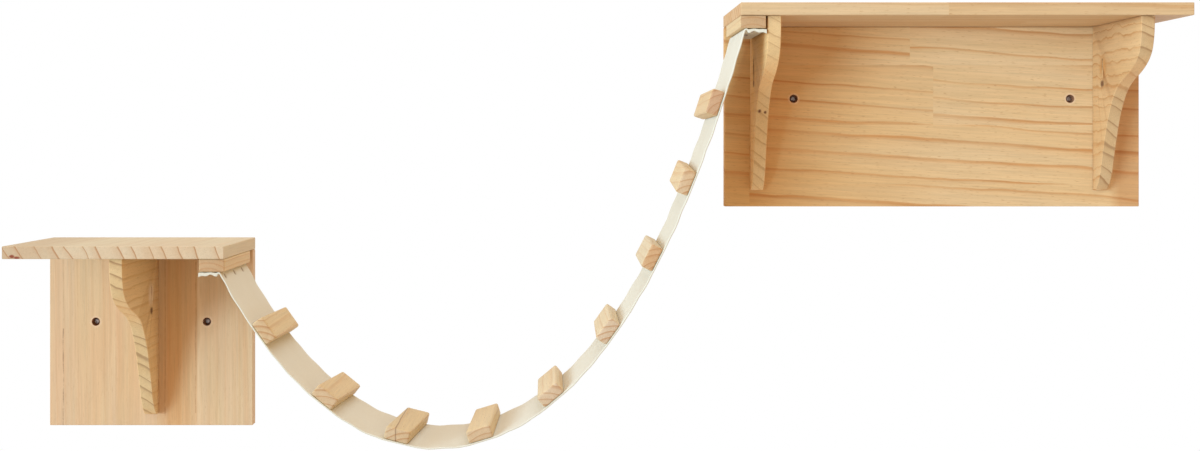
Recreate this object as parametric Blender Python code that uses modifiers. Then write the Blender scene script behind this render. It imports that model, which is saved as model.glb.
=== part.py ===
"""Cat climbing wall: two pine wall shelves joined by a hanging canvas strap with wooden treads.

Metres, +Z up, +X to the right along the wall, +Y into the wall. The wall is the plane Y = 0 and the
origin is the centre of the low unit's back panel, on its wall face.
"""
import math

import bmesh
import bpy
from mathutils import Matrix, Vector

# Boards of the two wall units
low_shelf_width = 0.296
high_shelf_width = 0.604
shelf_depth = 0.200
board_thickness = 0.017
low_panel_height = 0.256
high_panel_height = 0.262
units_apart = 0.688
shelf_rise = 0.325
board_edge_round = 0.0008

# Brackets: the edge goes out along the shelf, turns in with an S and runs down to a narrow foot
bracket_thickness = 0.018
bracket_setback = 0.006
bracket_short_of_panel = 0.018
bracket_edge_round = 0.0009
bracket_front_shares = [
    (1.000, 0.000),
    (0.998, 0.070),
    (0.985, 0.135),
    (0.955, 0.200),
    (0.890, 0.255),
    (0.780, 0.307),
    (0.655, 0.347),
    (0.555, 0.392),
    (0.485, 0.447),
    (0.425, 0.515),
    (0.374, 0.590),
    (0.335, 0.670),
    (0.295, 0.755),
    (0.262, 0.840),
    (0.232, 0.905),
    (0.190, 0.960),
    (0.140, 1.000),
]
bracket_curve_steps = 3
low_bracket_off_middle = 0.002
high_bracket_from_cleat = 0.003
high_bracket_from_end = 0.050

# Battens: one stock size makes both cleats and all the treads
batten_width = 0.034
batten_thickness = 0.017
cleat_setback = 0.002
cleat_from_wall = 0.036
cleat_edge_round = 0.0009
tread_past_strap = 0.001
tread_count = 9
tread_from_bend = 0.1025
tread_edge_round = 0.0024
tread_edge_steps = 2
tread_skew_degrees = [-1.4, -3.9, -4.4, -1.5, 0.4, -0.8, -1.0, -4.0, 0.6]
# How far each tread lies off its even place, in shares of the treads' spacing
tread_shift_shares = [-0.04, 0.06, 0.06, 0.045, 0.005, 0.04, 0.05, 0.055, -0.01]

# Canvas strap, one piece from tail to tail. Its slack is what it has beyond the straight way
# between its two bends.
strap_thickness = 0.0024
strap_slack = 0.3487
strap_from_front = 0.003
strap_from_wall = 0.039
strap_bend_radius = 0.0032
strap_bend_inset = 0.0085
strap_tail_past_cleat = 0.001
strap_bend_steps = 5
strap_stretch_steps = 5

# Clearances
seat_gap = 0.0003
hole_gap = 0.0004
sink_gap = 0.0008
blind_end_gap = 0.0009
cut_overrun = 0.004
weld_distance = 0.00001
turned_weld_distance = 0.00005

# Wall screws, pan head, in counterbored holes
low_wall_screw_from_end = 0.067
high_wall_screw_from_end = 0.1005
wall_screw_drop = 0.105
wall_screw_length = 0.040
wall_screw_radius = 0.0021
wall_screw_head_radius = 0.0044
wall_screw_head_height = 0.0028
wall_counterbore_radius = 0.0059
wall_counterbore_depth = 0.008
recess_width = 0.0012
recess_length = 0.0046
recess_depth = 0.0014

# Slanted pocket screw, up through the side of each bracket into the shelf. Its reach is how far
# across the bracket's thickness it has come at the top edge.
pocket_radius = 0.0031
pocket_reach_share = 0.62
pocket_drop = 0.067
pocket_from_wall = 0.055
pocket_seat_drop = 0.026
pocket_run_out = 0.026
pocket_screw_radius = 0.0015
pocket_screw_head_radius = 0.0026
pocket_screw_head_height = 0.0020
pocket_screw_bite = 0.011

# Countersunk screws through the back panel into each bracket
back_screw_drop_shares = [0.26, 0.72]
back_screw_length = 0.038
back_screw_radius = 0.0017
back_screw_head_radius = 0.0036
back_screw_head_height = 0.0022
back_screw_sunk = 0.0006

# Dowels between each shelf and its back panel
dowel_radius = 0.004
dowel_in_shelf = 0.010
dowel_in_panel = 0.014
dowel_chamfer = 0.0008
dowel_from_end = 0.040

# Pan-head screws that hold the canvas: three in each tail, two in each tread
canvas_screw_radius = 0.0014
canvas_screw_head_radius = 0.0034
canvas_screw_head_height = 0.0016
tail_screw_count = 3
tail_screw_edge_share = 0.12
tail_screw_bite = 0.009
tread_screw_bite = 0.010
tread_screw_spread_share = 0.56
screw_tip = 0.004
pan_crown_share = 0.55

# Facets
screw_sides = 10
wall_screw_sides = 16
hole_sides = 12
counterbore_sides = 20
eased_edge_degrees = 40
flat_cap_degrees = 0.5

# How the hanging curve is found: half its span over its scale lies between these two shares
flattest_curve_share = 0.001
deepest_curve_share = 20.0
halving_steps = 80
settling_steps = 60

# Colours
pine_light = (0.77, 0.60, 0.41, 1.0)
pine_warm = (0.72, 0.54, 0.35, 1.0)
canvas_cream = (0.80, 0.76, 0.66, 1.0)
zinc_grey = (0.55, 0.54, 0.52, 1.0)
beech_pale = (0.70, 0.56, 0.40, 1.0)

# Sizes and places that the values above give
bracket_depth = shelf_depth - bracket_setback
bracket_height = min(low_panel_height, high_panel_height) - bracket_short_of_panel
strap_width = shelf_depth - strap_from_front - strap_from_wall
cleat_length = shelf_depth - cleat_setback - cleat_from_wall
tread_length = strap_width + 2 * tread_past_strap
low_middle = 0.0
low_panel_top = low_panel_height / 2
low_right_end = low_middle + low_shelf_width / 2
high_left_end = low_right_end + units_apart
high_middle = high_left_end + high_shelf_width / 2
high_panel_top = low_panel_top + shelf_rise
strap_middle_y = -(shelf_depth - strap_from_front - strap_width / 2)


def clear_scene():
    """Remove every object, mesh, curve and material that the file opened with."""
    for thing in list(bpy.data.objects):
        bpy.data.objects.remove(thing, do_unlink=True)
    for store in (bpy.data.meshes, bpy.data.curves, bpy.data.materials):
        for block in list(store):
            store.remove(block)
    for group in list(bpy.data.collections):
        bpy.data.collections.remove(group)


def new_collection(name):
    group = bpy.data.collections.new(name)
    bpy.context.scene.collection.children.link(group)
    return group


def finish_of(name, colour, roughness, metallic=0.0):
    """A Principled material of the piece's own colour."""
    material = bpy.data.materials.new(name)
    material.use_nodes = True
    shader = material.node_tree.nodes["Principled BSDF"]
    shader.inputs["Base Color"].default_value = colour
    shader.inputs["Roughness"].default_value = roughness
    shader.inputs["Metallic"].default_value = metallic
    return material


def add_piece(name, mesh, colour, roughness, metallic=0.0):
    """One named piece with its own material."""
    piece = bpy.data.objects.new(name, mesh)
    mesh.materials.append(finish_of(name, colour, roughness, metallic))
    pieces.objects.link(piece)
    return piece


def add_cutter(name, mesh):
    """A shape that only cuts: it isn't rendered and isn't a piece."""
    tool = bpy.data.objects.new(name, mesh)
    tool.hide_render = True
    tool.display_type = "WIRE"
    cutters.objects.link(tool)
    return tool


def cut(piece, tool):
    step = piece.modifiers.new("cut_" + tool.name, "BOOLEAN")
    step.operation = "DIFFERENCE"
    step.solver = "EXACT"
    step.object = tool


def round_edges(piece, width, segments=1):
    step = piece.modifiers.new("eased_edges", "BEVEL")
    step.width = width
    step.segments = segments
    step.limit_method = "ANGLE"
    step.angle_limit = math.radians(eased_edge_degrees)


def box_mesh(name, size):
    """A box about its own centre."""
    form = bmesh.new()
    bmesh.ops.create_cube(form, size=1.0)
    bmesh.ops.scale(form, vec=Vector(size), verts=form.verts)
    mesh = bpy.data.meshes.new(name)
    form.to_mesh(mesh)
    form.free()
    return mesh


def rod_mesh(name, radius, length, sides, mouth_radius=None):
    """A rod or cone that runs from its origin along local -Z, with mouth_radius at the origin."""
    form = bmesh.new()
    bmesh.ops.create_cone(
        form,
        cap_ends=True,
        segments=sides,
        radius1=radius,
        radius2=radius if mouth_radius is None else mouth_radius,
        depth=length,
    )
    bmesh.ops.translate(form, vec=(0, 0, -length / 2), verts=form.verts)
    mesh = bpy.data.meshes.new(name)
    form.to_mesh(mesh)
    form.free()
    return mesh


def turned_piece(name, profile, sides, colour, roughness, metallic=0.0):
    """A profile of (radius, height) points, from the top down, turned about local Z."""
    mesh = bpy.data.meshes.new(name)
    points = [(radius, 0, height) for radius, height in profile]
    mesh.from_pydata(points, [(n, n + 1) for n in range(len(points) - 1)], [])
    piece = add_piece(name, mesh, colour, roughness, metallic)
    turn = piece.modifiers.new("turned", "SCREW")
    turn.steps = sides
    turn.render_steps = sides
    turn.use_merge_vertices = True
    turn.merge_threshold = turned_weld_distance
    turn.use_smooth_shade = True
    return piece


def aim(thing, point, direction, parent=None):
    """Put a thing's origin at the point with its local -Z along the direction."""
    thing.parent = parent
    thing.location = point
    thing.rotation_euler = Vector(direction).to_track_quat("-Z", "Y").to_euler()


def pan_screw(name, head_radius, head_height, radius, length, sides=screw_sides):
    """A pan-head screw. Its origin is where the head bears, and its shank runs along -Z."""
    profile = [
        (0, head_height),
        (head_radius * pan_crown_share, head_height),
        (head_radius, head_height / 2),
        (head_radius, 0),
        (radius, 0),
        (radius, screw_tip - length),
        (0, -length),
    ]
    return turned_piece(name, profile, sides, zinc_grey, 0.35, 1.0)


def flush_screw(name, head_radius, head_height, radius, length):
    """A countersunk screw. Its origin is the middle of its flat head."""
    profile = [
        (0, 0),
        (head_radius, 0),
        (radius, -head_height),
        (radius, screw_tip - length),
        (0, -length),
    ]
    return turned_piece(name, profile, screw_sides, zinc_grey, 0.35, 1.0)


def hole(piece, name, radius, length, point, direction, sides=hole_sides, parent=None):
    """Bore a piece from the point along the direction, with an overrun behind the point."""
    tool = add_cutter(name, rod_mesh(name, radius, length + cut_overrun, sides))
    start = Vector(point) - Vector(direction).normalized() * cut_overrun
    aim(tool, start, direction, parent)
    cut(piece, tool)
    return tool


def board(name, size, centre, colour, parent, edge_round=board_edge_round):
    plank = add_piece(name, box_mesh(name, size), colour, 0.55)
    plank.parent = parent
    plank.location = centre
    round_edges(plank, edge_round)
    return plank


def smooth_points(points, steps):
    """Points on a smooth curve through the given ones (each span is a cubic of its four neighbours)."""
    ends = [points[0], *points, points[-1]]
    found = []
    for n in range(len(points) - 1):
        before, start, end, after = (Vector(p) for p in ends[n : n + 4])
        for step in range(steps):
            t = step / steps
            found.append(
                (
                    2 * start
                    + (end - before) * t
                    + (2 * before - 5 * start + 4 * end - after) * t**2
                    + (3 * start - before - 3 * end + after) * t**3
                )
                / 2
            )
    return [*found, Vector(points[-1])]


def mesh_from_curve(name, curve_data):
    """The curve's solid as a mesh, with its caps welded and each flat cap made one face."""
    holder = bpy.data.objects.new(name + "_curve", curve_data)
    cutters.objects.link(holder)
    bpy.context.view_layer.update()
    seen = holder.evaluated_get(bpy.context.evaluated_depsgraph_get())
    mesh = bpy.data.meshes.new_from_object(seen)
    mesh.name = name
    bpy.data.objects.remove(holder, do_unlink=True)
    form = bmesh.new()
    form.from_mesh(mesh)
    bmesh.ops.remove_doubles(form, verts=form.verts, dist=weld_distance)
    flat = math.radians(flat_cap_degrees)
    bmesh.ops.dissolve_limit(form, angle_limit=flat, verts=form.verts, edges=form.edges)
    form.to_mesh(mesh)
    form.free()
    return mesh


def flat_curve(name, points, half_width, closed):
    """A 2D curve through the points, as wide along local Z as twice half_width."""
    curve = bpy.data.curves.new(name, "CURVE")
    curve.dimensions = "2D"
    curve.fill_mode = "BOTH" if closed else "NONE"
    curve.extrude = half_width
    curve.render_resolution_u = 0
    line = curve.splines.new("POLY")
    line.points.add(len(points) - 1)
    for spot, point in zip(line.points, points):
        spot.co = (point[0], point[1], 0, 1)
    line.use_cyclic_u = closed
    return curve


def bracket_outline():
    """(out from the wall, height) points round a bracket, with its top at height zero."""
    back = board_thickness + seat_gap
    top = -seat_gap
    front = [
        (out * bracket_depth, top - down * (bracket_height + top))
        for out, down in bracket_front_shares
    ]
    return [(back, top), *smooth_points(front, bracket_curve_steps), (back, -bracket_height)]


def bracket(unit, name, middle, pocket_side, shelf, panel):
    """One S-shaped bracket with its slanted pocket screw and its two screws from behind.

    pocket_side is 1 where the pocket opens on the right face and -1 where it opens on the left.
    """
    outline = flat_curve(name, bracket_outline(), bracket_thickness / 2, closed=True)
    blade = add_piece(name, mesh_from_curve(name, outline), pine_warm, 0.55)
    blade.parent = unit
    blade.location = (middle, 0, 0)
    blade.rotation_euler = (math.pi / 2, 0, -math.pi / 2)
    round_edges(blade, bracket_edge_round)

    slant = math.atan(bracket_thickness * pocket_reach_share / pocket_drop)
    upward = Vector((-pocket_side * math.sin(slant), 0, math.cos(slant)))
    face = Vector((middle + pocket_side * bracket_thickness / 2, -pocket_from_wall, -pocket_drop))
    seat = face + upward * (pocket_drop - pocket_seat_drop) / math.cos(slant)
    mouth = face - upward * pocket_run_out
    hole(blade, name + "_pocket", pocket_radius, (seat - mouth).length, mouth, upward, parent=unit)
    shank_length = pocket_seat_drop / math.cos(slant) + pocket_screw_bite
    pilot_radius = pocket_screw_radius + hole_gap
    pilot_length = shank_length + blind_end_gap
    pilot = hole(blade, name + "_pilot", pilot_radius, pilot_length, seat, upward, parent=unit)
    cut(shelf, pilot)
    screw = pan_screw(
        name + "_pocket_screw",
        pocket_screw_head_radius,
        pocket_screw_head_height,
        pocket_screw_radius,
        shank_length,
    )
    aim(screw, seat - upward * seat_gap, upward, unit)

    for number, drop_share in enumerate(back_screw_drop_shares, 1):
        label = f"{name}_back_screw_{number}"
        drop = bracket_height * drop_share
        outward = Vector((0, -1, 0))
        head = Vector((middle, -back_screw_sunk, -drop))
        wall_face = Vector((middle, 0, -drop))
        way = back_screw_length + back_screw_sunk + blind_end_gap
        bore = hole(
            panel, label + "_hole", back_screw_radius + hole_gap, way, wall_face, outward, parent=unit
        )
        cut(blade, bore)
        sink_depth = back_screw_head_height + back_screw_sunk + cut_overrun
        sink_radius = back_screw_radius + sink_gap
        slope = (back_screw_head_radius - back_screw_radius) / back_screw_head_height
        mouth_radius = sink_radius + slope * sink_depth
        tool = add_cutter(
            label + "_sink",
            rod_mesh(label + "_sink", sink_radius, sink_depth, hole_sides, mouth_radius),
        )
        aim(tool, wall_face - outward * cut_overrun, outward, unit)
        cut(panel, tool)
        pin = flush_screw(
            label, back_screw_head_radius, back_screw_head_height, back_screw_radius, back_screw_length
        )
        aim(pin, head, outward, unit)
    return blade


def wall_screw(unit, name, panel, across):
    """A counterbored hole through the panel, with a cross-recessed screw that goes on into the wall."""
    inward = Vector((0, 1, 0))
    front = Vector((across, -board_thickness, -wall_screw_drop))
    floor = front + inward * wall_counterbore_depth
    hole(
        panel,
        name + "_counterbore",
        wall_counterbore_radius,
        wall_counterbore_depth,
        front,
        inward,
        counterbore_sides,
        unit,
    )
    through = board_thickness - wall_counterbore_depth + cut_overrun
    hole(panel, name + "_way", wall_screw_radius + hole_gap, through, floor, inward, parent=unit)
    screw = pan_screw(
        name,
        wall_screw_head_radius,
        wall_screw_head_height,
        wall_screw_radius,
        wall_screw_length,
        wall_screw_sides,
    )
    aim(screw, floor - inward * seat_gap, inward, unit)
    for number, size in enumerate(
        [(recess_length, recess_width, recess_depth * 2), (recess_width, recess_length, recess_depth * 2)]
    ):
        slot = add_cutter(f"{name}_recess_{number}", box_mesh(f"{name}_recess_{number}", size))
        slot.parent = screw
        slot.location = (0, 0, wall_screw_head_height)
        cut(screw, slot)


def dowel(unit, name, shelf, panel, across):
    """A chamfered dowel, up into the shelf and down into the top edge of the panel."""
    length = dowel_in_shelf + dowel_in_panel - seat_gap * 2
    profile = [
        (0, 0),
        (dowel_radius - dowel_chamfer, 0),
        (dowel_radius, -dowel_chamfer),
        (dowel_radius, dowel_chamfer - length),
        (dowel_radius - dowel_chamfer, -length),
        (0, -length),
    ]
    pin = turned_piece(name, profile, hole_sides, beech_pale, 0.6)
    top = Vector((across, -board_thickness / 2, dowel_in_shelf))
    aim(pin, top - Vector((0, 0, seat_gap)), (0, 0, -1), unit)
    bore = add_cutter(
        name + "_bore",
        rod_mesh(name + "_bore", dowel_radius + hole_gap, dowel_in_shelf + dowel_in_panel, hole_sides),
    )
    aim(bore, top, (0, 0, -1), unit)
    cut(shelf, bore)
    cut(panel, bore)


def cleat_with_screws(unit, name, shelf, outer_end, inward):
    """The batten under the shelf's end that the canvas tail is screwed to.

    inward is the direction along X from the shelf's end towards its middle, 1 or -1.
    """
    middle_x = outer_end + inward * batten_width / 2
    front = -(shelf_depth - cleat_setback)
    middle_y = front + cleat_length / 2
    height = batten_thickness - seat_gap
    batten = board(
        name,
        (batten_width, cleat_length, height),
        (middle_x, middle_y, -seat_gap - height / 2),
        pine_warm,
        unit,
        cleat_edge_round,
    )
    head_seat = -batten_thickness - seat_gap - strap_thickness - seat_gap
    length = tail_screw_bite - head_seat
    spread = strap_width * (1 - 2 * tail_screw_edge_share)
    tools = []
    for number in range(tail_screw_count):
        across = strap_middle_y + spread * (number / (tail_screw_count - 1) - 1 / 2)
        foot = Vector((middle_x, across, head_seat))
        label = f"{name}_screw_{number + 1}"
        tool = hole(
            batten,
            label + "_hole",
            canvas_screw_radius + hole_gap,
            length + blind_end_gap,
            foot,
            (0, 0, 1),
            parent=unit,
        )
        cut(shelf, tool)
        tools.append(tool)
        screw = pan_screw(
            label,
            canvas_screw_head_radius,
            canvas_screw_head_height,
            canvas_screw_radius,
            length,
        )
        aim(screw, foot, (0, 0, 1), unit)
    return tools


def wall_unit(name, middle, width, panel_height, top, screw_from_end, brackets, cleat_end):
    """A shelf on its back panel. The unit's empty is on the wall at the height of the shelf's underside.

    brackets lists (name, place along X from the unit's middle, side of the pocket), and cleat_end is
    1 for a cleat under the right end and -1 for one under the left end.
    """
    unit = bpy.data.objects.new(name, None)
    pieces.objects.link(unit)
    unit.location = (middle, 0, top)
    shelf = board(
        name + "_shelf",
        (width, shelf_depth, board_thickness),
        (0, -shelf_depth / 2, board_thickness / 2),
        pine_light,
        unit,
    )
    height = panel_height - seat_gap
    panel = board(
        name + "_back_panel",
        (width, board_thickness, height),
        (0, -board_thickness / 2, -seat_gap - height / 2),
        pine_light,
        unit,
    )
    for label, place, side in brackets:
        bracket(unit, label, place, side, shelf, panel)
    for number, side in enumerate((-1, 1), 1):
        wall_screw(unit, f"{name}_wall_screw_{number}", panel, side * (width / 2 - screw_from_end))
        dowel(unit, f"{name}_dowel_{number}", shelf, panel, side * (width / 2 - dowel_from_end))
    tools = cleat_with_screws(unit, name + "_cleat", shelf, cleat_end * width / 2, -cleat_end)
    return unit, tools


def catenary(start, end, length):
    """The hanging curve of that length between two points: (scale, lowest x, height offset).

    Its height is scale * cosh((x - lowest) / scale) + offset. The scale is found by halving.
    """
    span = end[0] - start[0]
    rise = end[1] - start[1]
    stretch = math.sqrt(length**2 - rise**2) / span
    few, many = flattest_curve_share, deepest_curve_share
    for _ in range(halving_steps):
        half = (few + many) / 2
        if math.sinh(half) / half < stretch:
            few = half
        else:
            many = half
    scale = span / (2 * half)
    lowest = (start[0] + end[0]) / 2 - scale * math.atanh(rise / length)
    offset = start[1] - scale * math.cosh((start[0] - lowest) / scale)
    return scale, lowest, offset


def tread_skew(number):
    """How far a tread is turned on the canvas, in radians."""
    return math.radians(tread_skew_degrees[number % len(tread_skew_degrees)])


class StrapLine:
    """The strap's middle line in the X-Z plane: tail, bend, hanging curve, bend, tail."""

    def __init__(self):
        below = batten_thickness + seat_gap + strap_thickness / 2
        self.low_turn = (low_right_end - strap_bend_inset, low_panel_top - below)
        self.high_turn = (high_left_end + strap_bend_inset, high_panel_top - below)
        self.length = math.dist(self.low_turn, self.high_turn) + strap_slack
        self.pitch = (self.length - 2 * tread_from_bend) / (tread_count - 1)
        self.low_slope = self.high_slope = math.pi / 3
        for _ in range(settling_steps):
            self.start = self.on_bend(self.low_turn, self.low_slope, 1)
            self.end = self.on_bend(self.high_turn, self.high_slope, -1)
            self.scale, self.lowest, self.offset = catenary(self.start, self.end, self.length)
            self.low_slope = math.atan(math.sinh((self.lowest - self.start[0]) / self.scale))
            self.high_slope = math.atan(math.sinh((self.end[0] - self.lowest) / self.scale))

    def on_bend(self, turn, angle, side):
        """The point of a bend where the canvas has turned by the angle away from level."""
        return (
            turn[0] + side * strap_bend_radius * math.sin(angle),
            turn[1] - strap_bend_radius * (1 - math.cos(angle)),
        )

    def at(self, run):
        """The point of the hanging curve that lies run metres along it from its low end."""
        first = math.sinh((self.start[0] - self.lowest) / self.scale)
        x = self.lowest + self.scale * math.asinh(first + run / self.scale)
        return Vector((x, self.scale * math.cosh((x - self.lowest) / self.scale) + self.offset))

    def tread_run(self, number):
        """How far along the hanging curve the middle of a tread lies, counted from tread 0."""
        shift_share = tread_shift_shares[number % len(tread_shift_shares)]
        return tread_from_bend + (number + shift_share) * self.pitch

    def tread_reach(self, number):
        """How much canvas a tread holds flat on each side of its middle, which grows with its skew."""
        skew = abs(tread_skew(number))
        return (batten_width * math.cos(skew) + tread_length * math.sin(skew)) / 2

    def tread_seat(self, number):
        """The two ends of the straight stretch that a tread holds flat."""
        run = self.tread_run(number)
        reach = self.tread_reach(number)
        return self.at(run - reach), self.at(run + reach)

    def points(self):
        tail = batten_width + strap_tail_past_cleat
        found = [Vector((low_right_end - tail, self.low_turn[1]))]
        for step in range(strap_bend_steps):
            found.append(Vector(self.on_bend(self.low_turn, self.low_slope * step / strap_bend_steps, 1)))
        run = 0.0
        seats = [(self.tread_run(number), self.tread_reach(number)) for number in range(tread_count)]
        for seat_middle, reach in [*seats, (self.length, 0.0)]:
            stretch = seat_middle - reach - run
            for step in range(strap_stretch_steps + 1):
                found.append(self.at(run + stretch * step / strap_stretch_steps))
            run = seat_middle + reach
        for step in reversed(range(strap_bend_steps)):
            found.append(Vector(self.on_bend(self.high_turn, self.high_slope * step / strap_bend_steps, -1)))
        found.append(Vector((high_left_end + tail, self.high_turn[1])))
        return found


def sway_axis(line):
    """The empty that the bridge sways about: local X runs from the low bend to the high one."""
    axis = bpy.data.objects.new("sway_axis", None)
    pieces.objects.link(axis)
    axis.location = (line.low_turn[0], strap_middle_y, line.low_turn[1])
    chord = Vector(line.high_turn) - Vector(line.low_turn)
    axis.rotation_euler = (0, -math.atan2(chord[1], chord[0]), 0)
    return axis


def hang_from(axis, thing, place, turn):
    """Parent a thing to the sway axis, with its place and turn given in the world."""
    thing.parent = axis
    frame = Matrix.LocRotScale(axis.location, axis.rotation_euler, None)
    thing.matrix_basis = frame.inverted() @ Matrix.Translation(place) @ turn


def bridge_strap(line, axis):
    """The canvas: a ribbon along the strap's line, thickened about it."""
    ribbon = flat_curve("bridge_strap", line.points(), strap_width / 2, closed=False)
    canvas = add_piece("bridge_strap", mesh_from_curve("bridge_strap", ribbon), canvas_cream, 0.85)
    hang_from(axis, canvas, Vector((0, strap_middle_y, 0)), Matrix.Rotation(math.pi / 2, 4, "X"))
    thick = canvas.modifiers.new("canvas_thickness", "SOLIDIFY")
    thick.thickness = strap_thickness
    thick.offset = 0
    thick.use_even_offset = True
    return canvas


def tread(line, axis, number, canvas):
    """One tread on its flat stretch of canvas, with two screws from below.

    Its empty lies on the strap's line, with local X along the strap and local Z out of its upper face.
    """
    low_edge, high_edge = line.tread_seat(number)
    along = high_edge - low_edge
    middle = (low_edge + high_edge) / 2
    label = f"tread_{number + 1}"
    seat = bpy.data.objects.new(label + "_seat", None)
    pieces.objects.link(seat)
    tilt = Matrix.Rotation(-math.atan2(along[1], along[0]), 4, "Y")
    skew = Matrix.Rotation(tread_skew(number), 4, "Z")
    hang_from(axis, seat, Vector((middle[0], strap_middle_y, middle[1])), tilt @ skew)

    canvas_face = strap_thickness / 2 + seat_gap
    bar = board(
        label,
        (batten_width, tread_length, batten_thickness),
        (0, 0, canvas_face + batten_thickness / 2),
        pine_warm,
        seat,
        tread_edge_round,
    )
    bar.modifiers["eased_edges"].segments = tread_edge_steps
    length = tread_screw_bite + 2 * canvas_face
    for place, side in enumerate((-1, 1), 1):
        across = side * tread_length * tread_screw_spread_share / 2
        foot = Vector((0, across, -canvas_face))
        name = f"{label}_screw_{place}"
        bore = hole(
            bar,
            name + "_hole",
            canvas_screw_radius + hole_gap,
            length + blind_end_gap,
            foot,
            (0, 0, 1),
            parent=seat,
        )
        cut(canvas, bore)
        screw = pan_screw(
            name,
            canvas_screw_head_radius,
            canvas_screw_head_height,
            canvas_screw_radius,
            length,
        )
        aim(screw, foot, (0, 0, 1), seat)


clear_scene()
pieces = new_collection("cat_climbing_wall")
cutters = new_collection("cutters")

low_unit, low_tail_holes = wall_unit(
    "low",
    low_middle,
    low_shelf_width,
    low_panel_height,
    low_panel_top,
    low_wall_screw_from_end,
    [("low_bracket", low_bracket_off_middle, 1)],
    1,
)
left_bracket_place = (
    batten_width + high_bracket_from_cleat + bracket_thickness / 2 - high_shelf_width / 2
)
right_bracket_place = high_shelf_width / 2 - high_bracket_from_end - bracket_thickness / 2
high_unit, high_tail_holes = wall_unit(
    "high",
    high_middle,
    high_shelf_width,
    high_panel_height,
    high_panel_top,
    high_wall_screw_from_end,
    [
        ("high_left_bracket", left_bracket_place, -1),
        ("high_right_bracket", right_bracket_place, -1),
    ],
    -1,
)
strap_line = StrapLine()
bridge_axis = sway_axis(strap_line)
strap = bridge_strap(strap_line, bridge_axis)
for tail_hole in low_tail_holes + high_tail_holes:
    cut(strap, tail_hole)
for tread_number in range(tread_count):
    tread(strap_line, bridge_axis, tread_number, strap)
bpy.context.view_layer.update()
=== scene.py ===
"""The looks of the cat climbing wall: pine wall units, a canvas strap and its treads.

Metres, +Z up, +X along the wall, +Y into it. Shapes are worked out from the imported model. The woods'
joints, single lines and knots have their places given in the same frame.
"""
import math

import bmesh
import bpy
import numpy as np
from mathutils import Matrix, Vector


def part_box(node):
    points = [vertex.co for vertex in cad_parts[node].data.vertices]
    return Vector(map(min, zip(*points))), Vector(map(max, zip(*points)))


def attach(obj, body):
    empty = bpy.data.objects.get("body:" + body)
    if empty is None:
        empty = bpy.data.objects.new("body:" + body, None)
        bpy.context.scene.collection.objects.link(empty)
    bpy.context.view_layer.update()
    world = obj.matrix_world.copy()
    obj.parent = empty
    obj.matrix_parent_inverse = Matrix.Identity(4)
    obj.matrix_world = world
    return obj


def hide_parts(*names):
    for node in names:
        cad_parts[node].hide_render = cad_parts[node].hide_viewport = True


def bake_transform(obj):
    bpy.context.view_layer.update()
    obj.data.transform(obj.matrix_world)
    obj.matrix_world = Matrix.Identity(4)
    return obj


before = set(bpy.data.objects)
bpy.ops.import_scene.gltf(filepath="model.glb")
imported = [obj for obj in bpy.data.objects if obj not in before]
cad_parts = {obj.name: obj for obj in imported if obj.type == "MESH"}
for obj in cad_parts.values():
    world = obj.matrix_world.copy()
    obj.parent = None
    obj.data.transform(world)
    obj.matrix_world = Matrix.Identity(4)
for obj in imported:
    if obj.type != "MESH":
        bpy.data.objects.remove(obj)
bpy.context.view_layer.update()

# The photograph's frame in pixels, and the camera that gives it
photo_width = 1200
photo_height = 451
vanishing_x = 556
vanishing_y = 150
focal_pixels = 1439.8
sensor_width = 36.0
eye_place = (0.590, -2.1164, 0.2733)

# Light: the way each lamp shines, its colour, its strength and how soft its shadows are
key_way = (0.68, 0.733, 0.02)
key_colour = (0.495, 0.765, 1.0)
key_strength = 2.75
key_softness_degrees = 24
side_way = (0.86, 0.38, -0.30)
side_colour = (0.56, 0.77, 1.0)
side_strength = 1.12
side_softness_degrees = 40
fill_way = (-0.24, 0.10, -0.96)
fill_colour = (0.635, 0.81, 1.0)
fill_strength = 1.68
fill_softness_degrees = 60
ambient_colour = (1.0, 0.650, 0.310)
ambient_strength = 0.69
floor_height = -0.62
floor_reach = 2.0
floor_colour = (0.74, 0.74, 0.74)
floor_glow = (0.15, 0.22, 0.29)

# Strap and treads, as the solids have them
strap_width = 0.158
strap_thickness = 0.0024
strap_middle_y = -0.118
strap_slack = 0.3487
bend_radius = 0.0032
bend_inset = 0.0085
tail_past_cleat = 0.001
seat_gap = 0.0003
batten_width = 0.034
batten_thickness = 0.017
tread_length = 0.160
tread_count = 9
tread_from_bend = 0.1025
tread_skew_degrees = [-1.4, -3.9, -4.4, -1.5, 0.4, -0.8, -1.0, -4.0, 0.6]
tread_shift_shares = [-0.04, 0.06, 0.06, 0.045, 0.005, 0.04, 0.05, 0.055, -0.01]

# Battens: their round edges, and a slight bow and twist
tread_round = 0.0028
cleat_round = 0.0011
batten_bow = 0.00012
batten_twist_radians = 0.004

# Edges with a greater angle than this stay sharp in the shading
new_piece_sharp_degrees = 35
bracket_sharp_degrees = 28
# Points of a CAD mesh that are closer than this are merged
merge_distance = 0.00001

# Canvas detail
strap_edge_share = 0.48
ripple_height = 0.0005
ripple_length = 0.043
ripple_fade = 0.02
tail_droop = 0.0052
tail_droop_reach = 0.013
tail_top_droop_share = 0.30
tail_wave_reach = 0.012
bend_detail_reach = 0.014
pucker_places = (-0.060, -0.004, 0.045)
pucker_run = 0.0045
pucker_size = 0.0048
pucker_depth = 0.0022
yarn_pitch = 0.0011
# The cloth's UV is in metres and starts from this, so that it stays above zero
uv_shift = 1.0

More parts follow.
